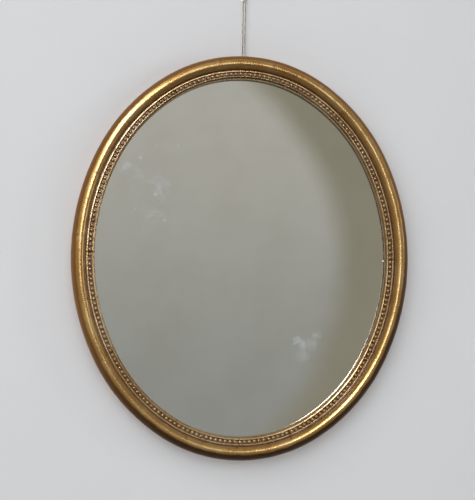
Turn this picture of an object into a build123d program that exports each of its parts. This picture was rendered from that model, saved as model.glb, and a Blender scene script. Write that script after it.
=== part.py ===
from build123d import *
import os
from math import cos, pi, radians, sin, sqrt

# Oval wall mirror in a gilded moulding with a beaded sight edge, hung by a doubled wire from a
# wall hook. Millimetres. X runs across the mirror, +Y points into the wall, +Z is up. The origin
# is on the wall face, half way between the two screws of the hook.

# Oval outline of the moulding: each quarter is a side arc, a middle arc and an end arc
frame_width = 420.0
frame_height = 500.0
side_break_angle = 27.0
end_break_angle = 57.0
middle_arc_factor = 1.03

# Moulding section: inset is measured inwards from the outline, depth forwards from the back
wall_gap = 10.0
crown_depth = 27.0
outer_round = 10.2
inner_round = 6.6
back_bevel = 3.0
gesso = 0.8
ledge_depth = 14.0
rebate_depth = 11.0
rebate_inset = 22.5
sight_inset = 28.5

# Sight slip: quirk, fillet, bead channel and sloping lip
quirk_width = 1.5
quirk_rise = 3.2
fillet_width = 1.6
fillet_rise = 5.0
channel_width = 5.2
channel_rise = 1.2
lip_rise = 4.1
lip_flat = 0.6
lip_fall = 3.3
lip_wall = 0.9

# Beads
bead_count = 218
bead_radius = 2.45
bead_sink = 0.45

# Corner tongues inside the four rail joints
tongue_length = 24.0
tongue_width = 10.0
tongue_thickness = 4.0
tongue_inset = 9.5
tongue_depth = 8.0
tongue_clearance = 0.1

# Glazing, from the front of the rebate to the back
glass_thickness = 3.0
silver_thickness = 0.12
card_thickness = 0.8
board_thickness = 4.0
glazing_clearance = 0.8
board_gap = 0.4

# Brads that hold the boards in the rebate
brad_count = 12
brad_radius = 0.7
brad_in_wood = 8.0
brad_over_board = 9.0
brad_head_radius = 1.1
brad_head_thickness = 0.7
brad_clearance = 0.05

# Cork bumpers at the lower back, each on its pin
cork_radius = 7.0
cork_inset = 12.0
cork_angle = 32.0
cork_pin_radius = 0.7
cork_pin_in_wood = 9.0
cork_pin_head_radius = 1.6
cork_pin_head_thickness = 0.8
cork_pin_sink = 2.5

# Wall hook: plate, pin and ball
hook_plate_width = 14.0
hook_plate_height = 42.0
hook_plate_thickness = 2.2
hook_pin_radius = 2.0
hook_pin_reach = 10.5
hook_ball_radius = 4.5
hook_screw_spacing = 28.0
hook_screw_radius = 1.75
hook_screw_head_radius = 3.4
hook_screw_in_wall = 28.0
screw_clearance = 0.15
slot_width = 0.9
slot_share_of_head = 0.35
screw_point_in_radii = 2.0
screw_tip_in_radii = 0.2

# Hanging eye on the back of the top rail
hook_to_frame = 102.0
eye_drop = 13.0
eye_rod_radius = 1.2
eye_leg_spacing = 6.8
eye_reach = 5.5
eye_bend_radius = 1.5
eye_plate_width = 38.0
eye_plate_height = 12.0
eye_plate_thickness = 1.5
eye_plate_corner = 3.0
eye_screw_spacing = 26.0
eye_screw_radius = 1.5
eye_screw_head_radius = 2.7
eye_screw_in_wood = 12.0

# Doubled hanging wire in the plane y = -wire_gap, and the two crimped ferrules on it
wire_radius = 0.9
wire_gap = 5.8
strand_offset = 1.45
pin_bend = 3.0
eye_bend = 2.2
splay_bend = 12.0
neck_bend = 8.0
ferrule_wall = 0.85
upper_ferrule_top = -16.0
upper_ferrule_length = 10.0
lower_ferrule_top = -103.5
lower_ferrule_length = 6.0

# Route of the wire as x and z, from its start in the lower ferrule, over the hook pin, down and
# round the hanging eye to its end in the same ferrule
wire_route = [
    (-1.45, -106.0),
    (-1.45, -14.5),
    (-3.20, 0.72),
    (-2.05, 2.57),
    (0.00, 3.29),
    (2.05, 2.57),
    (3.20, 0.72),
    (1.45, -14.5),
    (1.45, -110.6),
    (2.42, -115.37),
    (1.60, -116.86),
    (0.00, -117.45),
    (-1.60, -116.86),
    (-2.42, -115.37),
    (-1.45, -110.6),
    (-1.45, -107.0),
]
wire_radii = (
    [splay_bend] + [pin_bend] * 5 + [splay_bend] + [neck_bend] + [eye_bend] * 5 + [neck_bend]
)

# Places worked out from the sizes above
roll_width = outer_round + inner_round
side_height = crown_depth - outer_round
flank_depth = crown_depth - inner_round
frame_top_z = -hook_to_frame
frame_centre_z = frame_top_z - frame_height / 2
eye_rod_z = frame_top_z - eye_drop
glass_back_depth = rebate_depth - glass_thickness
silver_back_depth = glass_back_depth - silver_thickness
card_back_depth = silver_back_depth - card_thickness
board_back_depth = card_back_depth - board_thickness
fillet_start = roll_width + quirk_width
channel_start = fillet_start + fillet_width
channel_end = channel_start + channel_width
channel_depth = ledge_depth + channel_rise
bead_inset = channel_start + channel_width / 2


def oval_arcs():
    """Arcs of the outline: centre x, centre z, radius, first and last angle of the normal."""
    half_width = frame_width / 2
    half_height = frame_height / 2
    low = radians(side_break_angle)
    high = radians(end_break_angle)
    mean = (half_width**2 + half_height**2) / 2
    middle_radius = middle_arc_factor * (half_width * half_height) ** 2 / mean**1.5
    # The side and end radii close a quarter of the oval on its half width and half height
    across = half_width - middle_radius * (cos(low) - cos(high))
    upward = half_height - middle_radius * (sin(high) - sin(low))
    share = (1 - cos(low)) * (1 - sin(high)) - sin(low) * cos(high)
    side_radius = (across * (1 - sin(high)) - upward * cos(high)) / share
    end_radius = (upward * (1 - cos(low)) - across * sin(low)) / share
    side_x = half_width - side_radius
    end_z = half_height - end_radius
    middle_x = side_x + (side_radius - middle_radius) * cos(low)
    middle_z = (side_radius - middle_radius) * sin(low)
    quarter = [
        (side_x, 0.0, side_radius, 0.0, side_break_angle),
        (middle_x, middle_z, middle_radius, side_break_angle, end_break_angle),
        (0.0, end_z, end_radius, end_break_angle, 90.0),
    ]
    arcs = []
    for turn in range(4):
        source = quarter if turn % 2 == 0 else quarter[::-1]
        side = 1 if turn in (0, 3) else -1
        rise = 1 if turn in (0, 1) else -1
        for x, z, radius, first, last in source:
            if turn % 2 == 1:
                first, last = 90 - last, 90 - first
            start = 90 * turn + first
            arcs.append((side * x, frame_centre_z + rise * z, radius, start, start + last - first))
    return arcs


ARCS = oval_arcs()


def depth_plane(depth):
    """Plane across the mirror at a depth in front of the moulding's back, facing forwards."""
    return Plane(origin=(0, -wall_gap - depth, 0), x_dir=(1, 0, 0), z_dir=(0, -1, 0))


def oval_plate(inset, back_depth, thickness):
    """Flat oval plate, parallel to the outline at an inset."""
    edges = [
        CenterArc((x, z), radius - inset, start, stop - start)
        for x, z, radius, start, stop in ARCS
    ]
    return extrude(depth_plane(back_depth) * make_face(edges), thickness)


def oval_spot(share, inset):
    """Point, at an inset, this share of the way round from +X, and the angle of its normal."""
    lengths = [(radius - inset) * radians(stop - start) for _, _, radius, start, stop in ARCS]
    left = (share % 1.0) * sum(lengths)
    for (x, z, radius, start, stop), length in zip(ARCS, lengths):
        if left <= length:
            break
        left -= length
    angle = start + (stop - start) * left / length
    reach = radius - inset
    return (x + reach * cos(radians(angle)), z + reach * sin(radians(angle))), angle


def spot_at_angle(angle, inset):
    """Point, at an inset, whose normal has this angle."""
    for x, z, radius, start, stop in ARCS:
        if start <= angle % 360 <= stop:
            break
    reach = radius - inset
    return x + reach * cos(radians(angle)), z + reach * sin(radians(angle))


def section_face(steps, radius):
    """Face of a section. A step is a corner (inset, depth), or an arc as (through, end)."""
    placed = []
    for step in steps:
        points = step if isinstance(step[0], tuple) else (step,)
        placed.append([(radius - inset, depth) for inset, depth in points])
    edges = []
    here = placed[0][-1]
    for points in placed[1:] + placed[:1]:
        end = points[-1]
        edges.append(ThreePointArc(here, *points) if len(points) == 2 else Line(here, end))
        here = end
    return make_face(edges)


def moulding_run(steps, first, last):
    """Solid that a section makes along the outline between two angles of the normal."""
    pieces = []
    for lap in (0, 360):
        for x, z, radius, start, stop in ARCS:
            start = max(start + lap, first)
            stop = min(stop + lap, last)
            if stop <= start:
                continue
            turn = radians(start)
            centre = (x, -wall_gap, z)
            plane = Plane(centre, x_dir=(cos(turn), 0, sin(turn)), z_dir=(sin(turn), 0, -cos(turn)))
            face = plane * section_face(steps, radius)
            pieces.append(revolve(face, Axis(centre, (0, -1, 0)), stop - start))
    return pieces[0].fuse(*pieces[1:])


def roll_arcs(skin):
    """Middle points and crown of the roll's two quarter arcs, this far under its surface."""
    outer = (outer_round - skin) * sqrt(0.5)
    inner = (inner_round - skin) * sqrt(0.5)
    return (
        (outer_round - outer, side_height + outer),
        (outer_round, crown_depth - skin),
        (outer_round + inner, flank_depth + inner),
    )


def roll_steps(skin):
    """Outer side, crown and inner flank of the roll, this far under its surface."""
    outer, crown, inner = roll_arcs(skin)
    return [
        (skin, back_bevel),
        (skin, side_height),
        (outer, crown),
        (inner, (roll_width - skin, flank_depth)),
        (roll_width - skin, ledge_depth),
    ]


def rail_steps():
    return [(gesso + back_bevel, 0.0)] + roll_steps(gesso) + [
        (sight_inset - lip_wall, ledge_depth),
        (sight_inset - lip_wall, rebate_depth),
        (rebate_inset, rebate_depth),
        (rebate_inset, 0.0),
    ]


def gesso_steps():
    outer, crown, inner = roll_arcs(gesso)
    return roll_steps(0.0) + [
        (roll_width - gesso, ledge_depth),
        (roll_width - gesso, flank_depth),
        (inner, crown),
        (outer, (gesso, side_height)),
        (gesso, back_bevel),
    ]


def slip_steps():
    lip_front = ledge_depth + lip_rise
    return [
        (roll_width, ledge_depth),
        (roll_width, ledge_depth + quirk_rise),
        (fillet_start, ledge_depth + quirk_rise),
        (fillet_start, ledge_depth + fillet_rise),
        (channel_start, ledge_depth + fillet_rise),
        (channel_start, channel_depth),
        (channel_end, channel_depth),
        (channel_end, lip_front),
        (channel_end + lip_flat, lip_front),
        (sight_inset, lip_front - lip_fall),
        (sight_inset, rebate_depth),
        (sight_inset - lip_wall, rebate_depth),
        (sight_inset - lip_wall, ledge_depth),
    ]


def radial_place(angle, inset, depth):
    """Place on the frame with local x outwards along the normal and local z forwards."""
    x, z = spot_at_angle(angle, inset)
    turn = radians(angle)
    return Plane(origin=(x, -wall_gap - depth, z), x_dir=(cos(turn), 0, sin(turn)), z_dir=(0, -1, 0))


def tongue_block(clearance):
    return Box(
        tongue_width + 2 * clearance,
        tongue_length + 2 * clearance,
        tongue_thickness + 2 * clearance,
    )


def tongue_places():
    return [radial_place(angle, tongue_inset, tongue_depth) for angle in (45, 135, 225, 315)]


def pin_shape(radius, length, head_radius, head_thickness):
    """Nail along +Z from the underside of its head, with the head behind z = 0."""
    shank = Cylinder(radius, length, align=(Align.CENTER, Align.CENTER, Align.MIN))
    head = Cylinder(head_radius, head_thickness, align=(Align.CENTER, Align.CENTER, Align.MAX))
    return shank + head


def brad_shapes():
    shapes = []
    depth = board_back_depth - brad_head_radius - brad_clearance
    for index in range(brad_count):
        (x, z), angle = oval_spot(index / brad_count, rebate_inset + brad_over_board)
        turn = radians(angle)
        outwards = (cos(turn), 0, sin(turn))
        place = Plane(origin=(x, -wall_gap - depth, z), x_dir=(0, 1, 0), z_dir=outwards)
        length = brad_over_board + brad_in_wood
        shapes.append(place * pin_shape(brad_radius, length, brad_head_radius, brad_head_thickness))
    return shapes


def forward_plane(x, y, z):
    """Place whose local z points forwards, away from the wall."""
    return Plane(origin=(x, y, z), x_dir=(1, 0, 0), z_dir=(0, -1, 0))


def cork_spots():
    return [spot_at_angle(270 + side * cork_angle, cork_inset) for side in (-1, 1)]


def cork_shapes():
    shapes = []
    for x, z in cork_spots():
        cork = Cylinder(cork_radius, wall_gap, align=(Align.CENTER, Align.CENTER, Align.MIN))
        shaft = Cylinder(cork_pin_radius, wall_gap, align=(Align.CENTER, Align.CENTER, Align.MIN))
        pocket = Cylinder(
            cork_pin_head_radius, cork_pin_sink, align=(Align.CENTER, Align.CENTER, Align.MIN)
        )
        shapes.append(forward_plane(x, 0, z) * (cork - shaft - pocket))
    return shapes


def cork_pin_shapes():
    length = wall_gap - cork_pin_sink + cork_pin_in_wood
    pin = pin_shape(cork_pin_radius, length, cork_pin_head_radius, cork_pin_head_thickness)
    return [forward_plane(x, -cork_pin_sink, z) * pin for x, z in cork_spots()]


def screw_shape(radius, head_radius, head_depth, length, clearance=0.0):
    """Countersunk screw along +Z from the face of its head, with a pointed end."""
    upwards = (Align.CENTER, Align.CENTER, Align.MIN)
    point = screw_point_in_radii * radius
    body_radius = radius + clearance
    head = Cone(head_radius + clearance, body_radius, head_depth, align=upwards)
    shank = Cylinder(body_radius, length - head_depth - point, align=upwards)
    tip = Cone(body_radius, screw_tip_in_radii * radius, point, align=upwards)
    return head + Pos(0, 0, head_depth) * shank + Pos(0, 0, length - point) * tip


def slotted_screw(radius, head_radius, head_depth, length):
    screw = screw_shape(radius, head_radius, head_depth, length)
    slot_length = 2 * (head_radius + slot_width)
    slot_depth = slot_share_of_head * head_depth
    slot = Box(slot_length, slot_width, slot_depth, align=(Align.CENTER, Align.CENTER, Align.MIN))
    return screw - slot


def wall_plane(x, y, z):
    """Place whose local z points into the wall."""
    return Plane(origin=(x, y, z), x_dir=(1, 0, 0), z_dir=(0, 1, 0))


def hook_screw_places():
    return [
        wall_plane(0, -hook_plate_thickness, side * hook_screw_spacing / 2) for side in (-1, 1)
    ]


def wall_hook():
    face = SlotOverall(hook_plate_height, hook_plate_width, rotation=90)
    plate = extrude(forward_plane(0, 0, 0) * face, hook_plate_thickness)
    reach = hook_pin_reach + hook_ball_radius
    pin = Cylinder(hook_pin_radius, reach, align=(Align.CENTER, Align.CENTER, Align.MIN))
    ball = Pos(0, 0, reach) * Sphere(hook_ball_radius)
    hook = plate + forward_plane(0, 0, 0) * (pin + ball)
    hole = screw_shape(
        hook_screw_radius,
        hook_screw_head_radius,
        hook_plate_thickness,
        hook_plate_thickness + hook_screw_in_wall,
        screw_clearance,
    )
    return hook.cut(*[place * hole for place in hook_screw_places()])


def hook_screws():
    length = hook_plate_thickness + hook_screw_in_wall
    screw = slotted_screw(
        hook_screw_radius, hook_screw_head_radius, hook_plate_thickness, length
    )
    return [place * screw for place in hook_screw_places()]


def eye_screw_places():
    z = eye_rod_z - eye_leg_spacing / 2
    y = -wall_gap + eye_plate_thickness
    return [forward_plane(side * eye_screw_spacing / 2, y, z) for side in (-1, 1)]


def hanging_eye():
    middle_z = eye_rod_z - eye_leg_spacing / 2
    back = -wall_gap + eye_plate_thickness
    outline = RectangleRounded(eye_plate_width, eye_plate_height, eye_plate_corner)
    plate = extrude(wall_plane(0, -wall_gap, middle_z) * outline, eye_plate_thickness)
    root_y = back - eye_plate_thickness / 2
    corners = [
        (0, root_y, eye_rod_z),
        (0, back + eye_reach, eye_rod_z),
        (0, back + eye_reach, eye_rod_z - eye_leg_spacing),
        (0, root_y, eye_rod_z - eye_leg_spacing),
    ]
    path = FilletPolyline(*corners, radius=eye_bend_radius)
    rod = sweep(wall_plane(*corners[0]) * Circle(eye_rod_radius), path)
    hole = eye_screw_hole(screw_clearance)
    return (plate + rod).cut(*[place * hole for place in eye_screw_places()])


def eye_screw_hole(clearance):
    """Space that a screw of the hanging eye takes up in the plate and in the rail."""
    return screw_shape(
        eye_screw_radius,
        eye_screw_head_radius,
        eye_plate_thickness,
        eye_plate_thickness + eye_screw_in_wood,
        clearance,
    )


def eye_screws():
    length = eye_plate_thickness + eye_screw_in_wood
    screw = slotted_screw(eye_screw_radius, eye_screw_head_radius, eye_plate_thickness, length)
    return [place * screw for place in eye_screw_places()]


def wire_path():
    points = [(x, -wire_gap, z) for x, z in wire_route]
    return FilletPolyline(*points, radius=wire_radii)


def hanging_wire():
    path = wire_path()
    x, z = wire_route[0]
    start = Plane(origin=(x, -wire_gap, z), x_dir=(1, 0, 0), z_dir=(0, 0, 1))
    return sweep(start * Circle(wire_radius), path)


def ferrule(top, length):
    """Oval crimped sleeve round both strands."""
    place = Plane(origin=(0, -wire_gap, top - length))
    thick = 2 * (wire_radius + ferrule_wall)
    sleeve = extrude(place * SlotOverall(2 * strand_offset + thick, thick), length)
    barrels = [Pos(side * strand_offset, 0) * Circle(wire_radius) for side in (-1, 1)]
    return sleeve - extrude(place * Sketch(children=barrels), length)


def bead_shapes():
    floor = -wall_gap - channel_depth
    centre = bead_radius - bead_sink
    ball = Pos(0, 0, centre) * Sphere(bead_radius)
    bead = split(ball, bisect_by=Plane.XY, keep=Keep.TOP)
    spots = [oval_spot((index + 0.5) / bead_count, bead_inset)[0] for index in range(bead_count)]
    return [forward_plane(x, floor, z) * bead for x, z in spots]


def rails():
    """Four wooden rails, with pockets for the tongues and holes for brads, pins and screws."""
    cutters = [place * tongue_block(tongue_clearance) for place in tongue_places()]
    cutters += brad_shapes() + cork_pin_shapes()
    cutters += [place * eye_screw_hole(0.0) for place in eye_screw_places()]
    corners = (("top", 45), ("left", 135), ("bottom", 225), ("right", 315))
    return {
        "rail_" + name: moulding_run(rail_steps(), first, first + 90).cut(*cutters)
        for name, first in corners
    }


def slips():
    corners = (("upper_right", 0), ("upper_left", 90), ("lower_left", 180), ("lower_right", 270))
    return {
        "sight_slip_" + name: moulding_run(slip_steps(), first, first + 90)
        for name, first in corners
    }


def backboards():
    outline = rebate_inset + glazing_clearance
    whole = oval_plate(outline, board_back_depth, board_thickness)
    right = split(whole, bisect_by=Plane.YZ.offset(board_gap / 2), keep=Keep.TOP)
    return {"backboard_right": right, "backboard_left": mirror(right, Plane.YZ)}


def build_parts():
    glazing_inset = rebate_inset + glazing_clearance
    parts = {
        "wall_hook": wall_hook(),
        "hook_screws": hook_screws(),
        "hanging_wire": hanging_wire(),
        "upper_ferrule": ferrule(upper_ferrule_top, upper_ferrule_length),
        "lower_ferrule": ferrule(lower_ferrule_top, lower_ferrule_length),
        "hanging_eye": hanging_eye(),
        "eye_screws": eye_screws(),
        "joint_tongues": [place * tongue_block(0.0) for place in tongue_places()],
        "gilded_gesso": moulding_run(gesso_steps(), 0, 360),
        "pearl_beads": bead_shapes(),
        "mirror_glass": oval_plate(glazing_inset, glass_back_depth, glass_thickness),
        "silvering": oval_plate(glazing_inset, silver_back_depth, silver_thickness),
        "packing_card": oval_plate(glazing_inset, card_back_depth, card_thickness),
        "board_brads": brad_shapes(),
        "cork_bumpers": cork_shapes(),
        "bumper_pins": cork_pin_shapes(),
    }
    parts.update(rails())
    parts.update(slips())
    parts.update(backboards())
    return parts


def print_wire_facts(wire):
    length = wire_path().length
    print("wire radii:", ", ".join(f"{radius:.2f}" for radius in wire_radii))
    print(f"wire length {length:.1f} mm, volume {wire.volume:.1f}, "
          f"section times length {pi * wire_radius**2 * length:.1f} cubic mm")


def main():
    os.makedirs("parts", exist_ok=True)
    for name, shape in build_parts().items():
        if name == "hanging_wire":
            print_wire_facts(shape)
        if isinstance(shape, list):
            shape = Compound(children=shape)
        shape.label = name
        export_step(shape, f"parts/{name}.step")


main()
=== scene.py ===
import math
import random

import bpy
import numpy as np
from mathutils import Matrix, Vector


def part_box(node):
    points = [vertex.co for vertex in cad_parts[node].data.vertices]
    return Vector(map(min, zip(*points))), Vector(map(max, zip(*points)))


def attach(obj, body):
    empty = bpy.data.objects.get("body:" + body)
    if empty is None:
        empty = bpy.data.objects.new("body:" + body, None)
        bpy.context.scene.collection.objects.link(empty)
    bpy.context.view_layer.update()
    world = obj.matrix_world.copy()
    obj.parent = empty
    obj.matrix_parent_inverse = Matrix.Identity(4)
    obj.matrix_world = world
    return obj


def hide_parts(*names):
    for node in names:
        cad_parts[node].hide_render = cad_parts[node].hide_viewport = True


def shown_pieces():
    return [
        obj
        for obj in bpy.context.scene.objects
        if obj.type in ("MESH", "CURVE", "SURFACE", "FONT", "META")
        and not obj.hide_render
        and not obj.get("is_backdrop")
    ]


# An oval gilt mirror hung by a doubled wire from a wall hook. Metres, in the frame of the CAD
# model: X across, +Y into the wall, +Z up, origin between the screws of the hook.

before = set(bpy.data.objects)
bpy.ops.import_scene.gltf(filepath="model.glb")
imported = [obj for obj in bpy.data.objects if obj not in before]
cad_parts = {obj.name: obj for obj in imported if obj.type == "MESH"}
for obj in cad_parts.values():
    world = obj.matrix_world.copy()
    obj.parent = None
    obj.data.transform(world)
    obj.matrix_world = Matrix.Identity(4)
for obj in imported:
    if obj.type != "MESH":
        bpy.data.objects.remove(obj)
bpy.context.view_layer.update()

full_turn = 2 * math.pi
quarter_turn = math.pi / 2

# Sizes read from the frame, and the gap that the cork bumpers keep between moulding and wall
wall_gap = 0.010
gesso_low, gesso_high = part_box("gilded_gesso")
glass_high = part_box("mirror_glass")[1]
half_width = (gesso_high.x - gesso_low.x) / 2
half_height = (gesso_high.z - gesso_low.z) / 2
centre_z = (gesso_high.z + gesso_low.z) / 2
crown_depth = -gesso_low.y - wall_gap

# Oval outline: angles where a quarter's side arc and end arc stop, and its middle arc's factor
side_break = math.radians(27)
end_break = math.radians(57)
middle_arc_factor = 1.03

# Moulding section, as insets from the outline and depths in front of its back
outer_round = 0.0102
inner_round = 0.0066
gesso = 0.0008
back_bevel = 0.003
ledge_depth = 0.014
rebate_depth = 0.011
quirk_width = 0.0015
quirk_rise = 0.0032
fillet_width = 0.0016
fillet_rise = 0.0050
channel_width = 0.0052
channel_rise = 0.0012
lip_rise = 0.0041
lip_flat = 0.0006
lip_fall = 0.0033
lip_wall = 0.0009
sight_inset = 0.0285
lip_curve = ((0.45, 0.18), (0.82, 0.52))
edge_round = 0.00035
roll_width = outer_round + inner_round
side_height = crown_depth - outer_round
flank_depth = crown_depth - inner_round
fillet_start = roll_width + quirk_width
channel_start = fillet_start + fillet_width
channel_end = channel_start + channel_width
channel_depth = ledge_depth + channel_rise
lip_front = ledge_depth + lip_rise
lip_slope = sight_inset - channel_end - lip_flat

# Beads
bead_count = 218
bead_radius = 0.00245
bead_sink = 0.00045
bead_inset = channel_start + channel_width / 2
bead_sides = 20
bead_rings = 11
bead_seed = 218
bead_shift_along = 0.00016
bead_shift_across = 0.00008
bead_size_range = (0.94, 1.0)
bead_length_range = (0.97, 1.06)
bead_height_range = (0.90, 0.98)
three_dents = 0.012
two_dents = 0.010

# Glass and the silver behind it
glass_thickness = 0.003
silver_gap = 0.00002
silver_thickness = 0.00012
glass_back = rebate_depth - glass_thickness

# Meshes: rings round the oval, points on the section's arcs, and how far the hand-worked gold waves
steps_round = 1080
outer_steps = 36
inner_steps = 18
hidden_outer_steps = 10
hidden_inner_steps = 8
side_step = 0.004
flank_step = 0.003
wave_parts = 5
sink_cycles = (6, 26)
lean_cycles = (14, 60)
lean_share = 0.6
roll_wave = 0.00022
slip_wave = 0.00008
roll_seed = 3
slip_seed = 11


def collection_link(obj):
    bpy.context.scene.collection.objects.link(obj)
    return obj


# Camera
camera_azimuth = math.radians(-8.6)
camera_elevation = math.radians(-4.1)
camera_roll = math.radians(0.95)
camera_distance = 1.6
camera_target_shift = Vector((-0.0039, 0.0, 0.0087))
camera_focal_pixels = 1283.0
photo_width = 475.0
sensor_width = 36.0
nearest_seen = 0.01
farthest_seen = 50.0


def make_camera():
    data = bpy.data.cameras.new("photo_camera")
    data.sensor_fit = "HORIZONTAL"
    data.sensor_width = sensor_width
    data.lens = sensor_width * camera_focal_pixels / photo_width
    data.clip_start = nearest_seen
    data.clip_end = farthest_seen
    camera = collection_link(bpy.data.objects.new("photo_camera", data))
    centre = Vector((0.0, -wall_gap, centre_z))
    back = Vector((
        math.sin(camera_azimuth) * math.cos(camera_elevation),
        -math.cos(camera_azimuth) * math.cos(camera_elevation),
        math.sin(camera_elevation),
    ))
    place = centre + back * camera_distance
    forward = (centre + camera_target_shift - place).normalized()
    right = forward.cross(Vector((0, 0, 1))).normalized()
    up = right.cross(forward)
    turned_right = right * math.cos(camera_roll) + up * math.sin(camera_roll)
    turned_up = up * math.cos(camera_roll) - right * math.sin(camera_roll)
    turn = Matrix((turned_right, turned_up, -forward)).transposed()
    camera.matrix_world = Matrix.Translation(place) @ turn.to_4x4()
    bpy.context.scene.camera = camera


make_camera()

# Hanging wire: one length of wire, doubled. Its route is the one of the part's source
wire_y = -0.0058
wire_radius = 0.0009
wire_strands = 6
wire_lay = 0.0105
wire_sides = 36
wire_groove = 0.10
wire_step = 0.00035
curve_steps = 24
wire_route = [
    (-0.00145, -0.1060),
    (-0.00145, -0.0250),
    (-0.00145, -0.0145),
    (-0.00320, 0.00072),
    (-0.00205, 0.00257),
    (0.00000, 0.00329),
    (0.00205, 0.00257),
    (0.00320, 0.00072),
    (0.00145, -0.0145),
    (0.00145, -0.0250),
    (0.00145, -0.1000),
    (0.00145, -0.1106),
    (0.00242, -0.11537),
    (0.00160, -0.11686),
    (0.00000, -0.11745),
    (-0.00160, -0.11686),
    (-0.00242, -0.11537),
    (-0.00145, -0.1106),
    (-0.00145, -0.1070),
]


def route_curve():
    data = bpy.data.curves.new("wire_route", "CURVE")
    data.dimensions = "3D"
    data.resolution_u = curve_steps
    spline = data.splines.new("NURBS")
    spline.points.add(len(wire_route) - 1)
    for point, (x, z) in zip(spline.points, wire_route):
        point.co = (x, wire_y, z, 1.0)
    spline.order_u = 3
    spline.use_endpoint_u = True
    return bpy.data.objects.new("wire_route", data)


def route_points():
    """Evenly spaced points on the smooth line of the route, and their run along it."""
    curve = collection_link(route_curve())
    bpy.context.view_layer.update()
    mesh = bpy.data.meshes.new_from_object(curve)
    points = np.array([v.co for v in mesh.vertices], float)
    bpy.data.objects.remove(curve)
    bpy.data.meshes.remove(mesh)
    run = np.concatenate([[0.0], np.cumsum(np.linalg.norm(np.diff(points, axis=0), axis=1))])
    places = np.linspace(0.0, run[-1], int(run[-1] / wire_step) + 1)
    return np.stack([np.interp(places, run, points[:, k]) for k in range(3)], 1), places


def mesh_object(name, points, faces, smooth=True):
    mesh = bpy.data.meshes.new(name)
    mesh.from_pydata([tuple(p) for p in points], [], faces)
    mesh.update()
    if smooth:
        mesh.polygons.foreach_set("use_smooth", [True] * len(mesh.polygons))
    return collection_link(bpy.data.objects.new(name, mesh))


def set_attribute(obj, name, values):
    attribute = obj.data.attributes.new(name, "FLOAT", "POINT")
    attribute.data.foreach_set("value", np.asarray(values, np.float32))


def tube_faces(rings, sides):
    faces = []
    for ring in range(rings - 1):
        for side in range(sides):
            after = (side + 1) % sides
            low = ring * sides
            faces.append((low + side, low + after, low + sides + after, low + sides + side))
    faces.append(tuple(range(sides))[::-1])
    last = (rings - 1) * sides
    faces.append(tuple(range(last, last + sides)))
    return faces


def make_wire():
    """Twisted picture wire along the route, and every other point of its middle line."""
    line, places = route_points()
    along = np.gradient(line, axis=0)
    along /= np.linalg.norm(along, axis=1)[:, None]
    across = np.array([0.0, 1.0, 0.0])
    side = np.cross(along, across)
    side /= np.linalg.norm(side, axis=1)[:, None]
    angles = np.arange(wire_sides) * full_turn / wire_sides
    points = []
    for centre, edge, place in zip(line, side, places):
        twist = full_turn * place / wire_lay
        lobes = np.abs(np.sin((angles - twist) * wire_strands / 2))
        radius = wire_radius * (1 - wire_groove * (1 - lobes) ** 2)
        ring = np.outer(radius * np.cos(angles), edge) + np.outer(radius * np.sin(angles), across)
        points.append(ring + centre)
    faces = tube_faces(len(line), wire_sides)
    wire = mesh_object("hanging_wire_twisted", np.concatenate(points), faces)
    return wire, line[::2]


wire, wire_line = make_wire()
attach(wire, "wire_loop")
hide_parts("hanging_wire")


def oval_arcs():
    """Arcs of the outline: centre x, centre z, radius, first and last angle of the normal."""
    mean = (half_width**2 + half_height**2) / 2
    middle = middle_arc_factor * (half_width * half_height) ** 2 / mean**1.5
    low, high = side_break, end_break
    across = half_width - middle * (math.cos(low) - math.cos(high))
    upward = half_height - middle * (math.sin(high) - math.sin(low))
    share = (1 - math.cos(low)) * (1 - math.sin(high)) - math.sin(low) * math.cos(high)
    side = (across * (1 - math.sin(high)) - upward * math.cos(high)) / share
    end = (upward * (1 - math.cos(low)) - across * math.sin(low)) / share
    side_x = half_width - side
    end_z = half_height - end
    quarter = [
        (side_x, 0.0, side, 0.0, low),
        (side_x + (side - middle) * math.cos(low), (side - middle) * math.sin(low), middle, low, high),
        (0.0, end_z, end, high, quarter_turn),
    ]
    arcs = []
    for turn in range(4):
        source = quarter if turn % 2 == 0 else quarter[::-1]
        sign_x = 1 if turn in (0, 3) else -1
        sign_z = 1 if turn in (0, 1) else -1
        for x, z, radius, first, last in source:
            if turn % 2 == 1:
                first, last = quarter_turn - last, quarter_turn - first
            start = quarter_turn * turn + first
            arcs.append((sign_x * x, centre_z + sign_z * z, radius, start, start + last - first))
    return arcs


outline_arcs = oval_arcs()


def oval_frames(first, last, count, inset=0.0):
    """Points, outward normals and run lengths at even steps between two angles of the normal."""
    stretches = []
    for lap in (0, 1):
        for x, z, radius, start, stop in outline_arcs:
            start = max(start + lap * full_turn, first)
            stop = min(stop + lap * full_turn, last)
            if stop > start:
                stretches.append((x, z, radius, start, stop))
    lengths = np.array([(radius - inset) * (stop - start) for _, _, radius, start, stop in stretches])
    ends = np.cumsum(lengths)
    places = np.linspace(0.0, ends[-1], count)
    index = np.minimum(np.searchsorted(ends, places), len(stretches) - 1)
    table = np.array(stretches)[index]
    before = places - (ends - lengths)[index]
    angle = table[:, 3] + before / (table[:, 2] - inset)
    normal = np.stack([np.cos(angle), np.sin(angle)], 1)
    outline = table[:, :2] + normal * table[:, 2:3]
    return outline, normal, places


def rounded(corners, radius, keep, steps=4, longest=0.45):
    """Outline with each corner rounded, apart from the kept ones, over a share of its sides at most."""
    out = []
    count = len(corners)
    for k in range(count):
        here = np.array(corners[k], float)
        if k in keep:
            out.append(tuple(here))
            continue
        before = np.array(corners[k - 1], float) - here
        after = np.array(corners[(k + 1) % count], float) - here
        cut = min(radius, np.linalg.norm(before) * longest, np.linalg.norm(after) * longest)
        start = here + before / np.linalg.norm(before) * cut
        stop = here + after / np.linalg.norm(after) * cut
        for step in range(steps + 1):
            t = step / steps
            point = start * (1 - t) ** 2 + here * 2 * t * (1 - t) + stop * t**2
            out.append(tuple(point))
    return out


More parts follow.
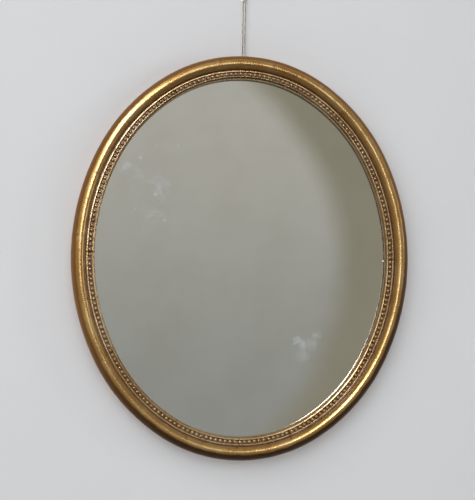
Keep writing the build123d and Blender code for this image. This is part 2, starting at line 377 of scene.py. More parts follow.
def ripple(share, seed, low, high):
    """Sum of random sine waves along a stretch, each with a whole number of cycles."""
    chance = random.Random(seed)
    total = np.zeros_like(share)
    for _ in range(wave_parts):
        cycles = chance.randint(low, high)
        total += np.sin(share * full_turn * cycles + chance.uniform(0, full_turn))
    return total / math.sqrt(wave_parts)


def wavering(share, seed, cycles):
    """Smooth random share from 0 to 1 along a stretch."""
    return (0.5 + 0.25 * ripple(share, seed, *cycles)).clip(0, 1)


def swept(name, section, first, last, count, wave, seed):
    """Mesh of a section, a closed line of (inset, depth), that runs along the outline."""
    outline, normal, run = oval_frames(first, last, count)
    closed = abs(last - first - full_turn) < 1e-6
    if closed:
        outline, normal, run = outline[:-1], normal[:-1], run[:-1]
    insets = np.array([p[0] for p in section])
    depths = np.array([p[1] for p in section])
    share = run / (run[-1] * count / (count - 1)) if closed else run / run[-1]
    # The hand-worked surface sinks by up to the wave, and never stands proud of the frame
    sink = wave * wavering(share, seed, sink_cycles)
    lean = wave * lean_share * wavering(share, seed + 7, lean_cycles)
    points = np.zeros((len(outline), len(section), 3))
    shown = (depths - depths.min()) / max(float(np.ptp(depths)), 1e-9)
    inset_now = insets[None, :] + lean[:, None] * shown[None, :]
    depth_now = depths[None, :] - sink[:, None] * shown[None, :]
    points[:, :, 0] = outline[:, 0:1] - normal[:, 0:1] * inset_now
    points[:, :, 2] = outline[:, 1:2] - normal[:, 1:2] * inset_now
    points[:, :, 1] = -wall_gap - depth_now
    size = len(section)
    rings = len(outline)
    faces = []
    for ring in range(rings if closed else rings - 1):
        low = ring * size
        high = ((ring + 1) % rings) * size
        for k in range(size):
            after = (k + 1) % size
            faces.append((low + k, high + k, high + after, low + after))
    if not closed:
        faces.append(tuple(range(size)))
        faces.append(tuple(range((rings - 1) * size, rings * size))[::-1])
    made = mesh_object(name, points.reshape(-1, 3), faces)
    set_attribute(made, "inset", np.tile(insets, rings))
    set_attribute(made, "depth", np.tile(depths, rings))
    return made


def arc_points(centre, radius, first, last, steps):
    angles = np.linspace(math.radians(first), math.radians(last), steps)
    return [(centre[0] - radius * math.cos(a), centre[1] + radius * math.sin(a)) for a in angles]


def roll_section():
    """The half-round roll's skin of gilded gesso: its outside, then its inside."""
    outer_centre = (outer_round, side_height)
    inner_centre = (outer_round, flank_depth)
    outside = [(0.0, back_bevel), (0.0, back_bevel + side_step), (0.0, side_height - side_step)]
    outside += arc_points(outer_centre, outer_round, 0, 90, outer_steps)
    outside += arc_points(inner_centre, inner_round, 90, 180, inner_steps)[1:]
    outside += [(roll_width, flank_depth - flank_step), (roll_width, ledge_depth)]
    inside = [(roll_width - gesso, ledge_depth), (roll_width - gesso, flank_depth)]
    inside += arc_points(inner_centre, inner_round - gesso, 180, 90, hidden_inner_steps)[1:]
    inside += arc_points(outer_centre, outer_round - gesso, 90, 0, hidden_outer_steps)[1:]
    inside += [(gesso, back_bevel)]
    return outside + inside


def slip_section():
    """Sight slip: quirk, fillet, bead channel and a lip that slopes to the glass in a slight curve."""
    slope_start = channel_end + lip_flat
    corners = [
        (roll_width, ledge_depth),
        (roll_width, ledge_depth + quirk_rise),
        (fillet_start, ledge_depth + quirk_rise),
        (fillet_start, ledge_depth + fillet_rise),
        (channel_start, ledge_depth + fillet_rise),
        (channel_start, channel_depth),
        (channel_end, channel_depth),
        (channel_end, lip_front),
        (slope_start, lip_front),
    ]
    corners += [(slope_start + across * lip_slope, lip_front - down * lip_fall) for across, down in lip_curve]
    corners += [
        (sight_inset, lip_front - lip_fall),
        (sight_inset, rebate_depth),
        (sight_inset - lip_wall, rebate_depth),
        (sight_inset - lip_wall, ledge_depth),
    ]
    # The first corner and the last two lie hidden against the other pieces
    hidden = (0, len(corners) - 2, len(corners) - 1)
    return rounded(corners, edge_round, hidden)


gilt_roll = swept("gilded_roll", roll_section(), 0.0, full_turn, steps_round + 1, roll_wave, roll_seed)
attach(gilt_roll, "mirror")
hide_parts("gilded_gesso")

slip_names = ("upper_right", "upper_left", "lower_left", "lower_right")
slips = []
for turn, corner in enumerate(slip_names):
    start = turn * quarter_turn
    stop = start + quarter_turn
    rings = steps_round // 4 + 1
    slip = swept("slip_" + corner, slip_section(), start, stop, rings, slip_wave, slip_seed + turn)
    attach(slip, "mirror")
    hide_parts("sight_slip_" + corner)
    slips.append(slip)


def make_beads():
    """Pressed beads, each a little uneven, with their feet in the channel's floor."""
    chance = random.Random(bead_seed)
    outline, normal, _ = oval_frames(0.0, full_turn, 2 * bead_count + 1, bead_inset)
    forward = Vector((0.0, -1.0, 0.0))
    points = []
    faces = []
    tops = []
    tints = []
    for index in range(bead_count):
        spot = 2 * index + 1
        out = Vector((normal[spot][0], 0.0, normal[spot][1]))
        along = Vector((-out.z, 0.0, out.x))
        foot = Vector((outline[spot][0], -wall_gap - channel_depth, outline[spot][1])) - out * bead_inset
        foot += along * chance.uniform(-bead_shift_along, bead_shift_along)
        foot += out * chance.uniform(-bead_shift_across, bead_shift_across)
        size = bead_radius * chance.uniform(*bead_size_range)
        long = chance.uniform(*bead_length_range)
        flat = chance.uniform(*bead_height_range)
        tint = chance.random()
        lean = chance.uniform(0, full_turn)
        centre = size * flat - bead_sink
        base = len(points)
        low_angle = -math.asin(min(1.0, centre / (size * flat)))
        for ring in range(bead_rings):
            rise = low_angle + (quarter_turn - low_angle) * ring / (bead_rings - 1)
            around = 1 if ring == bead_rings - 1 else bead_sides
            for side in range(around):
                turn = full_turn * side / bead_sides
                bump = 1 + three_dents * math.sin(3 * turn + lean) + two_dents * math.sin(2 * turn - lean)
                flatwise = size * bump * math.cos(rise)
                height = centre + size * flat * math.sin(rise)
                place = foot + along * (flatwise * long * math.cos(turn))
                place += out * (flatwise * math.sin(turn)) + forward * height
                points.append(place)
                tops.append(height / (2 * bead_radius))
                tints.append(tint)
        for ring in range(bead_rings - 2):
            for side in range(bead_sides):
                after = (side + 1) % bead_sides
                low = base + ring * bead_sides
                faces.append((low + side, low + after, low + bead_sides + after, low + bead_sides + side))
        tip = base + (bead_rings - 1) * bead_sides
        low = base + (bead_rings - 2) * bead_sides
        for side in range(bead_sides):
            faces.append((low + side, low + (side + 1) % bead_sides, tip))
        faces.append(tuple(range(base, base + bead_sides))[::-1])
    made = mesh_object("gilded_beads", points, faces)
    set_attribute(made, "top", tops)
    set_attribute(made, "tint", tints)
    return made


def make_silver():
    """Silver layer a hair behind the glass, so that rays meet the two one after the other."""
    outline, normal, _ = oval_frames(0.0, full_turn, steps_round // 3 + 1)
    edge = (outline - normal * (half_width - glass_high.x))[:-1]
    count = len(edge)
    points = []
    for depth in (glass_back - silver_gap, glass_back - silver_thickness):
        points += [(x, -wall_gap - depth, z) for x, z in edge]
    faces = [tuple(range(count)), tuple(range(count, 2 * count))[::-1]]
    for k in range(count):
        after = (k + 1) % count
        faces.append((k, k + count, after + count, after))
    return mesh_object("aged_silver", points, faces, smooth=False)


silver = make_silver()
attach(silver, "mirror")
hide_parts("silvering")

beads = make_beads()
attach(beads, "mirror")
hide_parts("pearl_beads")


class Shader:
    """A material, or the world, made node by node."""

    def __init__(self, name, world=None):
        self.material = world or bpy.data.materials.new(name)
        self.material.use_nodes = True
        self.tree = self.material.node_tree
        self.tree.nodes.clear()
        self.output = self.tree.nodes.new("ShaderNodeOutputWorld" if world else "ShaderNodeOutputMaterial")

    def node(self, kind, settings=None, **inputs):
        made = self.tree.nodes.new(kind)
        for name, value in (settings or {}).items():
            setattr(made, name, value)
        for name, value in inputs.items():
            self.feed(made.inputs[name.replace("_", " ")], value)
        return made

    def feed(self, socket, value):
        if isinstance(value, bpy.types.NodeSocket):
            self.tree.links.new(value, socket)
        elif value is not None:
            socket.default_value = value

    def calc(self, operation, first, second=0.0, clamp=False):
        made = self.tree.nodes.new("ShaderNodeMath")
        made.operation = operation
        made.use_clamp = clamp
        self.feed(made.inputs[0], first)
        self.feed(made.inputs[1], second)
        return made.outputs[0]

    def times(self, first, second):
        return self.calc("MULTIPLY", first, second)

    def plus(self, first, second, clamp=False):
        return self.calc("ADD", first, second, clamp)

    def minus(self, first, second, clamp=False):
        return self.calc("SUBTRACT", first, second, clamp)

    def over(self, first, second):
        return self.calc("DIVIDE", first, second)

    def larger(self, first, second):
        return self.calc("MAXIMUM", first, second)

    def mix(self, share, first, second, blend="MIX"):
        made = self.node("ShaderNodeMix", {"data_type": "RGBA", "blend_type": blend}, Factor=share)
        self.feed(made.inputs[6], first)
        self.feed(made.inputs[7], second)
        return made.outputs[2]

    def multiply(self, share, first, second):
        return self.mix(share, first, second, "MULTIPLY")

    def span(self, value, low, high, to_low=0.0, to_high=1.0):
        """Smooth step of the value from low to high."""
        made = self.tree.nodes.new("ShaderNodeMapRange")
        made.interpolation_type = "SMOOTHSTEP"
        for socket, item in zip(made.inputs, (value, low, high, to_low, to_high)):
            self.feed(socket, item)
        return made.outputs[0]

    def place(self):
        return self.node("ShaderNodeTexCoord").outputs["Object"]

    def attribute(self, name):
        return self.node("ShaderNodeAttribute", {"attribute_name": name}).outputs["Fac"]

    def stretch(self, vector, scale, turn=(0.0, 0.0, 0.0)):
        made = self.node("ShaderNodeMapping", Vector=vector, Scale=scale, Rotation=turn)
        return made.outputs[0]

    def noise(self, vector, scale, detail=4.0, rough=0.5, warp=0.0):
        made = self.node(
            "ShaderNodeTexNoise", Vector=vector, Scale=scale, Detail=detail, Roughness=rough, Distortion=warp
        )
        return made.outputs["Fac"]

    def axes(self, vector):
        return self.node("ShaderNodeSeparateXYZ", Vector=vector).outputs

    def bump(self, height, strength, distance, normal=None):
        made = self.node("ShaderNodeBump", Height=height, Strength=strength, Distance=distance)
        if normal is not None:
            self.feed(made.inputs["Normal"], normal)
        return made.outputs[0]

    def layer(self, share, below, above):
        """Two shaders, of which the second shows by the share."""
        made = self.node("ShaderNodeMixShader", Fac=share)
        self.tree.links.new(below.outputs[0], made.inputs[1])
        self.tree.links.new(above.outputs[0], made.inputs[2])
        return made

    def close(self, surface):
        self.tree.links.new(surface.outputs[0], self.output.inputs["Surface"])
        return self.material

    def finish(self, **inputs):
        return self.close(self.node("ShaderNodeBsdfPrincipled", **inputs))


def color(red, green, blue):
    return (red, green, blue, 1.0)


def round_share(s, place):
    """Share of the way round the oval, from 0 to 1, from the angle about its centre."""
    x, _, z = s.axes(place)
    upward = s.times(s.minus(z, centre_z), half_width / half_height)
    angle = s.calc("ARCTAN2", upward, x)
    return s.plus(s.over(angle, full_turn), 0.5)


leaves_round = 19.0
strokes_round = 620.0

leaf_orange = color(0.60, 0.33, 0.085)
lap_gold = color(0.95, 0.68, 0.30)
bole_red = color(0.36, 0.125, 0.04)
toned_brown = color(0.215, 0.088, 0.020)
# Painted shade for the outer flank towards the lower right
painted_shade_brown = color(0.036, 0.013, 0.006)
speck_brown = color(0.10, 0.045, 0.02)
# Grime and painted shade for the recesses
grime_and_shade_brown = color(0.060, 0.027, 0.010)
stroke_shadow = color(0.46, 0.40, 0.34)


def leaf_marks(s, place, around):
    """Random value of each leaf of gold, and masks of the laps between leaves and of their edges."""
    share = s.plus(s.times(around, leaves_round), s.times(s.noise(place, 22.0, 3.0), 0.34))
    number = s.calc("FLOOR", share)
    value = s.node("ShaderNodeTexWhiteNoise", {"noise_dimensions": "1D"}, W=number).outputs["Value"]
    part = s.calc("FRACT", share)
    lap = s.span(part, 0.90, 0.93)
    edge = s.times(s.span(part, 0.885, 0.90), s.span(part, 0.945, 0.93))
    return value, lap, edge


def lower_right(s):
    """Share of the way down and to the right on the frame, for painted shade and painted light there."""
    x, _, z = s.axes(s.place())
    low = s.minus(s.times(x, 0.45), s.minus(z, centre_z))
    return s.span(low, -0.04, 0.20)


def gilding(name, wear, recess_grime_and_shade, shade, light_gold, deep_gold):
    """Burnished gold leaf over red-brown bole, toned, rubbed, dusty and with painted shade."""
    s = Shader(name)
    place = s.place()
    around = round_share(s, place)
    value, lap, edge = leaf_marks(s, place, around)
    cloud = s.noise(place, 26.0, 5.0, 0.55)
    fine = s.noise(place, 240.0, 4.0, 0.6)
    tone = s.mix(s.span(cloud, 0.36, 0.66), deep_gold, light_gold)
    tone = s.mix(s.times(value, 0.40), tone, leaf_orange)
    tone = s.mix(s.times(lap, 0.35), tone, lap_gold)
    # Thin leaf lets the bole show through in brushed patches and along broken laps
    rub = s.noise(s.stretch(place, (1.0, 0.35, 1.0)), 75.0, 6.0, 0.62, 0.4)
    thin = s.span(s.plus(rub, s.times(edge, 0.12)), 0.585 - wear, 0.72 - wear)
    tone = s.mix(s.times(thin, 0.60), tone, bole_red)
    toned = shade(s, rub)
    # Painted shade: the outer flank darkens towards the lower right of the frame
    outside = s.span(s.attribute("inset"), outer_round + 0.0026, outer_round - 0.0006)
    painted_shading = s.times(s.times(lower_right(s), 0.94), outside)
    tone = s.mix(toned, tone, s.mix(painted_shading, toned_brown, painted_shade_brown))
    spots = s.span(s.noise(place, 620.0, 2.0, 0.5), 0.69, 0.75)
    tone = s.mix(s.times(spots, 0.55), tone, speck_brown)
    # Dirt and painted shade darken the recesses
    grime_and_shade = recess_grime_and_shade(s, fine)
    tone = s.mix(grime_and_shade, tone, grime_and_shade_brown)
    gloss = s.span(cloud, 0.3, 0.7, 0.23, 0.31)
    gloss = s.plus(gloss, s.times(thin, 0.10))
    gloss = s.plus(gloss, s.times(toned, 0.14))
    gloss = s.plus(gloss, s.times(grime_and_shade, 0.25))
    dull = s.larger(s.times(toned, 0.60), s.times(grime_and_shade, 0.7))
    metal = s.minus(1.0, dull, clamp=True)
    # Strokes of the brush and the burnisher run across the roll
    strokes = s.node(
        "ShaderNodeTexNoise",
        {"noise_dimensions": "1D"},
        W=s.times(around, strokes_round),
        Detail=3.0,
        Roughness=0.6,
    ).outputs["Fac"]
    tone = s.multiply(s.span(strokes, 0.40, 0.64, 0.0, 0.30), tone, stroke_shadow)
    wave = s.noise(place, 95.0, 3.0, 0.5)
    pits = s.noise(place, 900.0, 3.0, 0.6)
    normal = s.bump(wave, 0.12, 0.0006)
    normal = s.bump(strokes, 0.11, 0.00030, normal)
    normal = s.bump(pits, 0.09, 0.00016, normal)
    normal = s.bump(s.plus(lap, s.times(spots, -0.8)), 0.08, 0.00006, normal)
    varnish = s.times(s.minus(1.0, toned, clamp=True), 0.85)
    return s.finish(
        Base_Color=tone,
        Metallic=metal,
        Roughness=gloss,
        Normal=normal,
        Specular_IOR_Level=0.22,
        Coat_Weight=varnish,
        Coat_Roughness=0.18,
        Coat_IOR=1.75,
    )


def roll_grime_and_shade(s, fine):
    """Dirt and painted shade in the corner between the roll and the slip, and along the back edge."""
    inset = s.attribute("inset")
    depth = s.attribute("depth")
    inner = s.span(inset, roll_width - 0.0024, roll_width + 0.0002)
    low = s.span(depth, flank_depth + 0.001, ledge_depth + 0.002)
    back = s.span(depth, 0.0085, back_bevel)
    dirt_and_shade = s.larger(s.times(inner, low), s.times(back, 0.7))
    return s.times(dirt_and_shade, s.span(fine, 0.25, 0.6, 0.6, 1.0))


def roll_shade(s, rub):
    """Toned flanks on both sides of the bright crown, with an uneven edge."""
    uneven = s.times(s.minus(rub, 0.5), 0.0035)
    inset = s.plus(s.attribute("inset"), uneven)
    # Painted shade spreads the outer toning further in towards the lower right, and painted light tones the
    # inner flank less there
    painted_shading = lower_right(s)
    spread = s.times(painted_shading, 0.0022)
    outer = s.span(s.minus(inset, spread), 0.0082, 0.0042, 0.0, 0.97)
    inner = s.span(inset, 0.0122, 0.0154, 0.0, 0.80)
    inner = s.times(inner, s.minus(1.0, s.times(painted_shading, 0.65)))
    return s.larger(outer, inner)


def slip_grime_and_shade(s, fine):
    """Dirt and painted shade in the quirk and on the floor and sides of the bead channel."""
    depth = s.attribute("depth")
    inset = s.attribute("inset")
    deep = s.span(depth, channel_depth + 0.0022, channel_depth + 0.0003)
    channel = s.times(deep, s.span(inset, channel_start - 0.0004, channel_start))
    channel = s.times(channel, s.span(inset, channel_end + 0.0006, channel_end + 0.0002))
    quirk = s.span(inset, fillet_start + 0.0001, fillet_start - 0.0004)
    dirt_and_shade = s.larger(s.times(channel, 0.85), s.times(quirk, 0.9))
    return s.times(dirt_and_shade, s.span(fine, 0.2, 0.6, 0.72, 1.0))


def slip_shade(s, rub):
    """Toning that stays in the softer patches of the slip."""
    return s.span(rub, 0.50, 0.66, 0.0, 0.35)


def bead_grime_and_shade(s, fine):
    """Dirt and painted shade about the feet of the beads."""
    top = s.attribute("top")
    return s.times(s.span(top, 0.46, 0.20), s.span(fine, 0.2, 0.6, 0.8, 1.0))


def bead_shade(s, _rub):
    """Some beads are more toned than others."""
    return s.times(s.attribute("tint"), 0.35)


roll_light = color(0.88, 0.61, 0.27)
roll_deep = color(0.76, 0.46, 0.155)
slip_light = color(0.93, 0.69, 0.43)
slip_deep = color(0.80, 0.53, 0.28)
roll_gold = gilding("gold_leaf_roll", 0.0, roll_grime_and_shade, roll_shade, roll_light, roll_deep)
slip_gold = gilding("gold_leaf_slip", 0.0, slip_grime_and_shade, slip_shade, slip_light, slip_deep)
bead_gold = gilding("gold_leaf_beads", 0.02, bead_grime_and_shade, bead_shade, slip_light, slip_deep)
gilt_roll.data.materials.append(roll_gold)
for slip in slips:
    slip.data.materials.append(slip_gold)
beads.data.materials.append(bead_gold)


def give(nodes, material):
    """A CAD node takes this material in all its slots."""
    for node in nodes:
        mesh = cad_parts[node].data
        if not mesh.materials:
            mesh.materials.append(material)
        for k in range(len(mesh.materials)):
            mesh.materials[k] = material


# Marks on the glass as places across its face, with radius and strength
smudge_spots = [
    (0.0715, -0.4545, 0.0075, 1.0),
    (0.0790, -0.4600, 0.0095, 0.60),
    (0.0895, -0.4590, 0.0110, 0.38),
    (0.0955, -0.4480, 0.0080, 0.34),
    (0.0800, -0.4720, 0.0120, 0.36),
]
speck_spots = [
    (-0.1281, -0.2333, 0.0034, 0.60),
    (-0.1085, -0.2786, 0.0036, 0.75),
    (-0.0811, -0.2176, 0.0028, 0.50),
    (-0.0968, -0.3100, 0.0036, 0.62),
    (-0.1085, -0.2170, 0.0026, 0.35),
    (-0.1330, -0.2960, 0.0028, 0.35),
]
haze_spots = [
    (-0.1480, -0.2450, 0.014, 1.0),
    (-0.1270, -0.2560, 0.016, 0.8),
    (-0.1080, -0.2690, 0.030, 0.6),
    (-0.1050, -0.3000, 0.036, 0.5),
]


def spot_mask(s, place, spots, ragged, reach):
    """Sum of soft round spots with ragged edges."""
    x, _, z = s.axes(place)
    total = None
    for spot_x, spot_z, radius, strength in spots:
        dx = s.minus(x, spot_x)
        dz = s.minus(z, spot_z)
        far = s.calc("SQRT", s.plus(s.times(dx, dx), s.times(dz, dz)))
        far = s.plus(far, s.times(ragged, radius * reach))
        mask = s.span(far, radius, radius * 0.15, 0.0, strength)
        total = mask if total is None else s.larger(total, mask)
    return total


def glass_material():
    """Clear glass with a film of dust, specks, a patch of haze and a wiped smudge."""
    s = Shader("mirror_glass_front")
    place = s.place()
    ragged = s.minus(s.noise(place, 230.0, 6.0, 0.75, 0.5), 0.5)
    fine = s.noise(place, 900.0, 3.0, 0.6)
    wiped = s.stretch(place, (1.0, 1.0, 0.45), (0.0, 0.5, 0.0))
    streaks = s.span(s.noise(wiped, 210.0, 4.0, 0.6), 0.36, 0.62, 0.35, 1.0)
    smudge = s.times(spot_mask(s, place, smudge_spots, ragged, 2.6), streaks)
    smudge = s.times(smudge, 0.36)
    speck = s.times(spot_mask(s, place, speck_spots, ragged, 2.2), 0.34)
    patchy = s.span(s.noise(place, 85.0, 5.0, 0.65), 0.40, 0.68)
    haze = s.times(s.times(spot_mask(s, place, haze_spots, ragged, 1.2), patchy), 0.26)
    dust = s.times(s.span(s.noise(place, 9.0, 4.0, 0.6), 0.35, 0.75), 0.018)
    grain = s.times(s.span(fine, 0.60, 0.80), 0.03)
    film = s.larger(smudge, s.larger(speck, haze))
    film = s.plus(film, s.plus(dust, grain), clamp=True)
    clear = s.node(
        "ShaderNodeBsdfPrincipled",
        Base_Color=color(0.97, 0.985, 0.975),
        Roughness=0.0,
        IOR=1.52,
        Transmission_Weight=1.0,
    )
    veil = s.node("ShaderNodeBsdfDiffuse", Color=color(0.88, 0.94, 1.0))
    # Light reaches the silver straight through the glass
    straight = s.node("ShaderNodeBsdfTransparent", Color=color(0.95, 0.96, 0.95))
    path = s.node("ShaderNodeLightPath")
    through = s.larger(path.outputs["Is Shadow Ray"], path.outputs["Is Diffuse Ray"])
    return s.close(s.layer(through, s.layer(film, clear, veil), straight))


def silver_material():
    """Silver that has dulled unevenly, with a few dark spots."""
    s = Shader("aged_silvering")
    place = s.place()
    age = s.noise(place, 14.0, 6.0, 0.62)
    spots = s.span(s.noise(place, 160.0, 3.0, 0.55), 0.76, 0.80)
    tone = s.mix(s.span(age, 0.35, 0.7), color(0.885, 0.885, 0.865), color(0.845, 0.84, 0.81))
    tone = s.mix(spots, tone, color(0.30, 0.27, 0.22))
    gloss = s.times(spots, 0.3)
    return s.finish(Base_Color=tone, Metallic=1.0, Roughness=gloss)


def wood_material(name, along, light, dark, scale=1.0):
    """Old softwood: growth rings drawn out along the grain, pores, stains and dust."""
    s = Shader(name)
    place = s.place()
    drawn = s.stretch(place, tuple(scale * part for part in along))
    warp = s.noise(drawn, 7.0, 3.0, 0.5)
    rings = s.noise(drawn, 60.0, 5.0, 0.6, 0.7)
    fibre = s.noise(drawn, 420.0, 3.0, 0.6)
    stain = s.noise(place, 11.0, 5.0, 0.6)
    tone = s.mix(s.span(rings, 0.36, 0.62), light, dark)
    tone = s.mix(s.times(s.span(warp, 0.4, 0.7), 0.4), tone, dark)
    tone = s.multiply(s.times(s.span(fibre, 0.4, 0.75), 0.45), tone, color(0.45, 0.38, 0.30))
    tone = s.multiply(s.times(s.span(stain, 0.48, 0.72), 0.55), tone, color(0.42, 0.36, 0.30))
    gloss = s.span(rings, 0.3, 0.7, 0.74, 0.62)
    normal = s.bump(fibre, 0.35, 0.0004)
    normal = s.bump(rings, 0.25, 0.0005, normal)
    return s.finish(Base_Color=tone, Roughness=gloss, Normal=normal)


def metal_material(name, light, dark, rough, metallic=1.0, scale=90.0):
    """Worn metal with dull patches, fine scratches and specks."""
    s = Shader(name)
    place = s.place()
    cloud = s.noise(place, scale, 5.0, 0.6)
    fine = s.noise(place, scale * 14, 3.0, 0.6)
    tone = s.mix(s.span(cloud, 0.35, 0.68), light, dark)
    tone = s.multiply(s.span(fine, 0.62, 0.78, 0.0, 0.5), tone, color(0.4, 0.35, 0.3))
    gloss = s.span(cloud, 0.3, 0.7, rough, rough + 0.2)
    normal = s.bump(fine, 0.2, 0.00012)
    return s.finish(Base_Color=tone, Metallic=metallic, Roughness=gloss, Normal=normal)


def cork_material():
    """Cork with its cells and dark flecks."""
    s = Shader("cut_cork")
    place = s.place()
    cells = s.node("ShaderNodeTexVoronoi", Vector=place, Scale=520.0).outputs["Distance"]
    flecks = s.noise(place, 380.0, 4.0, 0.65)
    tone = s.mix(s.span(cells, 0.1, 0.6), color(0.47, 0.31, 0.18), color(0.66, 0.47, 0.29))
    tone = s.mix(s.span(flecks, 0.58, 0.68, 0.0, 0.8), tone, color(0.20, 0.115, 0.06))
    normal = s.bump(s.plus(cells, flecks), 0.6, 0.0004)
    return s.finish(Base_Color=tone, Roughness=0.85, Normal=normal)


def card_material():
    """Grey-brown card of short fibres, stained in patches."""
    s = Shader("packing_card")
    place = s.place()
    fibre = s.noise(place, 500.0, 4.0, 0.7)
    cloud = s.noise(place, 14.0, 4.0, 0.6)
    tone = s.mix(s.span(fibre, 0.3, 0.7), color(0.40, 0.34, 0.26), color(0.54, 0.47, 0.37))
    tone = s.multiply(s.span(cloud, 0.5, 0.75, 0.0, 0.5), tone, color(0.5, 0.42, 0.32))
    return s.finish(Base_Color=tone, Roughness=0.9, Normal=s.bump(fibre, 0.3, 0.0003))


give(["mirror_glass"], glass_material())
silver.data.materials.append(silver_material())
pine_light = color(0.47, 0.31, 0.165)
pine_dark = color(0.27, 0.155, 0.075)
across_grain = wood_material("frame_pine_across", (0.10, 1.0, 1.0), pine_light, pine_dark)
upright_grain = wood_material("frame_pine_upright", (1.0, 1.0, 0.10), pine_light, pine_dark)
give(["rail_top", "rail_bottom"], across_grain)
give(["rail_left", "rail_right"], upright_grain)
tongue_light = color(0.5, 0.34, 0.2)
give(["joint_tongues"], wood_material("tongue_beech", (1.0, 1.0, 0.2), tongue_light, pine_dark))
board_light = color(0.40, 0.265, 0.15)
board_dark = color(0.21, 0.125, 0.065)
boards = wood_material("back_boards", (1.0, 1.0, 0.06), board_light, board_dark, 0.7)
give(["backboard_left", "backboard_right"], boards)
give(["packing_card"], card_material())
brass_light = color(0.73, 0.54, 0.25)
brass_dark = color(0.42, 0.28, 0.11)
dull_brass = metal_material("dull_brass", brass_light, brass_dark, 0.34)
give(["hanging_eye", "eye_screws", "bumper_pins"], dull_brass)
give(["wall_hook"], metal_material("hook_brass", color(0.80, 0.60, 0.28), brass_dark, 0.24))
steel_light = color(0.66, 0.65, 0.62)
steel_dark = color(0.42, 0.40, 0.37)
give(["hook_screws"], metal_material("screw_steel", steel_light, steel_dark, 0.3))
iron_light = color(0.24, 0.19, 0.155)
iron_rust = color(0.16, 0.075, 0.035)
give(["board_brads"], metal_material("brad_iron", iron_light, iron_rust, 0.55, 0.7))
ferrule_light = color(0.70, 0.70, 0.69)
ferrule_dark = color(0.45, 0.45, 0.44)
give(["upper_ferrule", "lower_ferrule"], metal_material("crimped_ferrule", ferrule_light, ferrule_dark, 0.33))
give(["cork_bumpers"], cork_material())
wire_light = color(0.50, 0.475, 0.44)
wire_dark = color(0.36, 0.335, 0.30)
wire.data.materials.append(metal_material("wire_steel", wire_light, wire_dark, 0.42, 0.85, 300.0))

# Stage: a wall and a floor, with their fronts painted and their backs open to rays
wall_half = 3.0
floor_z = -1.75
wall_top = 1.2
floor_front = -6.0
paint_bump = 0.0005


def one_sided(name, light, dark, scale, bump, own_light=0.0):
    """Pale matt paint that lets rays from behind through, so that no view is blocked."""
    s = Shader(name)
    place = s.place()
    cloud = s.noise(place, scale, 4.0, 0.6)
    tone = s.mix(s.span(cloud, 0.3, 0.7), light, dark)
    grain = s.noise(place, scale * 30, 3.0)
    matt = s.node("ShaderNodeBsdfDiffuse", Color=tone, Normal=s.bump(grain, 0.2, bump))
    pale = s.node("ShaderNodeEmission", Color=tone)
    seen = s.times(s.node("ShaderNodeLightPath").outputs["Is Camera Ray"], own_light)
    gone = s.node("ShaderNodeBsdfTransparent")
    behind = s.node("ShaderNodeNewGeometry").outputs["Backfacing"]
    return s.close(s.layer(behind, s.layer(seen, matt, pale), gone))


def stage_plate(name, corners, material):
    plate = mesh_object(name, corners, [(0, 1, 2, 3)], smooth=False)
    plate.data.materials.append(material)
    plate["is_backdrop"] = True
    return plate


wall = stage_plate(
    "studio_wall",
    [(-wall_half, 0, floor_z), (wall_half, 0, floor_z), (wall_half, 0, wall_top), (-wall_half, 0, wall_top)],
    one_sided("wall_paint", color(0.795, 0.806, 0.845), color(0.772, 0.783, 0.822), 3.0, paint_bump),
)
floor = stage_plate(
    "studio_floor",
    [
        (-wall_half, floor_front, floor_z),
        (wall_half, floor_front, floor_z),
        (wall_half, 0, floor_z),
        (-wall_half, 0, floor_z),
    ],
    one_sided("floor_paint", color(0.74, 0.73, 0.71), color(0.70, 0.69, 0.67), 2.0, paint_bump, 0.75),
)

# The gold reflects the dark lower part of the world, not the pale floor
floor.visible_glossy = False

# World: a pool of light in front of the mirror, as directions from it, in dim surroundings
pool_centre = (-0.074, 0.062)
pool_reach = (0.30, 0.22)
pool_low = color(0.305, 0.302, 0.285)
pool_high = color(0.462, 0.438, 0.400)
room_side = color(0.060, 0.056, 0.050)
room_front = color(0.272, 0.246, 0.190)
room_top = color(0.270, 0.245, 0.200)
room_below = color(0.035, 0.030, 0.025)
pale_backdrop = color(0.78, 0.78, 0.80)


def make_world():
    """Dim surroundings with a pool of light in front, and a pale backdrop for the camera alone."""
    world = bpy.data.worlds.new("studio_room")
    bpy.context.scene.world = world
    s = Shader("studio_room", world)
    x, y, z = s.axes(s.node("ShaderNodeTexCoord").outputs["Generated"])
    across = s.over(s.minus(x, pool_centre[0]), pool_reach[0])
    upward = s.over(s.minus(z, pool_centre[1]), pool_reach[1])
    squares = s.plus(s.times(across, across), s.times(upward, upward))
    far = s.calc("SQRT", squares)
    pool = s.times(s.span(far, 1.045, 0.955), s.span(y, 0.1, -0.4))
    lit = s.mix(s.span(z, -0.06, 0.20), pool_low, pool_high)
    dim = s.mix(s.span(y, 0.3, -0.9), room_side, room_front)
    dim = s.mix(s.span(z, 0.30, 0.90), dim, room_top)
    dim = s.mix(s.span(z, -0.15, -0.6), dim, room_below)
    camera_ray = s.node("ShaderNodeLightPath").outputs["Is Camera Ray"]
    tone = s.mix(camera_ray, s.mix(pool, dim, lit), pale_backdrop)
    s.close(s.node("ShaderNodeBackground", Color=tone, Strength=1.0))


make_world()


middle = Vector((0.0, 0.0, centre_z))


def seen_along(way, distance):
    """Place at a distance from the mirror's middle, in the given direction."""
    return middle + Vector(way).normalized() * distance


def area_light(name, place, width, height, power, tint, along=(1.0, 0.0, 0.0)):
    """Rectangular lamp that faces the mirror's middle, with its width along the given direction."""
    data = bpy.data.lights.new(name, "AREA")
    data.shape = "RECTANGLE"
    data.size = width
    data.size_y = height
    data.energy = power
    data.color = tint
    light = collection_link(bpy.data.objects.new(name, data))
    away = (Vector(place) - middle).normalized()
    side = (Vector(along) - away * away.dot(Vector(along))).normalized()
    turn = Matrix((side, away.cross(side), away)).transposed()
    light.matrix_world = Matrix.Translation(place) @ turn.to_4x4()
    return light


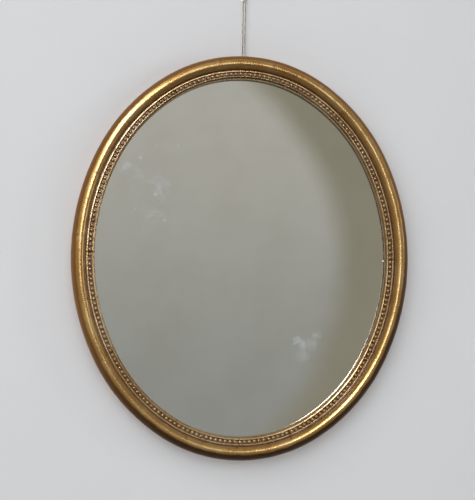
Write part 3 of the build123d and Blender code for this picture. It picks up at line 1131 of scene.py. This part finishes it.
# A long lamp at the upper left and a window far to the right, both seen in the gold
lamp_place = seen_along((-0.235, -0.880, 0.385), 2.4)
lamp = area_light("upper_lamp", lamp_place, 1.9, 0.34, 19.0, (1.0, 0.985, 0.94), along=(0.707, 0.0, -0.707))
window_place = seen_along((0.870, -0.480, 0.100), 5.0)
area_light("side_window", window_place, 0.60, 1.7, 15.0, (0.90, 0.96, 1.0))

# Soft fills that lift matt surfaces and never show in a reflection or through the glass
soft_place = seen_along((-0.36, -0.84, 0.42), 2.6)
front_place = seen_along((-0.24, -0.95, 0.16), 2.3)
wash_place = seen_along((0.42, -0.80, -0.42), 3.5)
soft = area_light("room_light", soft_place, 3.2, 2.8, 34.0, (0.950, 0.975, 1.0))
front = area_light("front_light", front_place, 1.4, 1.2, 10.0, (0.97, 0.99, 1.0))
wash = area_light("wall_light", wash_place, 2.4, 2.4, 18.0, (0.84, 0.93, 1.0))
for fill in (soft, front, wash):
    fill.visible_glossy = False
    fill.visible_transmission = False

back_lamp = area_light("back_window", (-1.2, 1.8, 0.9), 1.2, 1.2, 60.0, (1.0, 0.99, 0.97))


def light_group(name, objects):
    """Collection of the objects that a light is linked to."""
    group = bpy.data.collections.new(name)
    for obj in objects:
        group.objects.link(obj)
    return group


shown_behind = [
    "rail_top", "rail_bottom", "rail_left", "rail_right", "backboard_left", "backboard_right", "board_brads",
    "cork_bumpers", "bumper_pins", "hanging_eye", "eye_screws", "wall_hook", "hook_screws", "upper_ferrule",
    "lower_ferrule", "joint_tongues", "packing_card",
]
lit_behind = [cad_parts[name] for name in shown_behind] + [wire]
# The lamp lights the object but not its glass or the wall, and the wash lights the stage alone
lamp.light_linking.receiver_collection = light_group("lit_by_lamp", lit_behind + [gilt_roll, beads] + slips)
wash.light_linking.receiver_collection = light_group("lit_by_wash", [wall, floor])
# The lamp behind the wall, for views from the back, lights only what is seen from there
back_lamp.light_linking.receiver_collection = light_group("lit_behind", lit_behind)
back_lamp.light_linking.blocker_collection = light_group("blocks_behind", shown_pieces())

bpy.context.scene.view_settings.view_transform = "Standard"
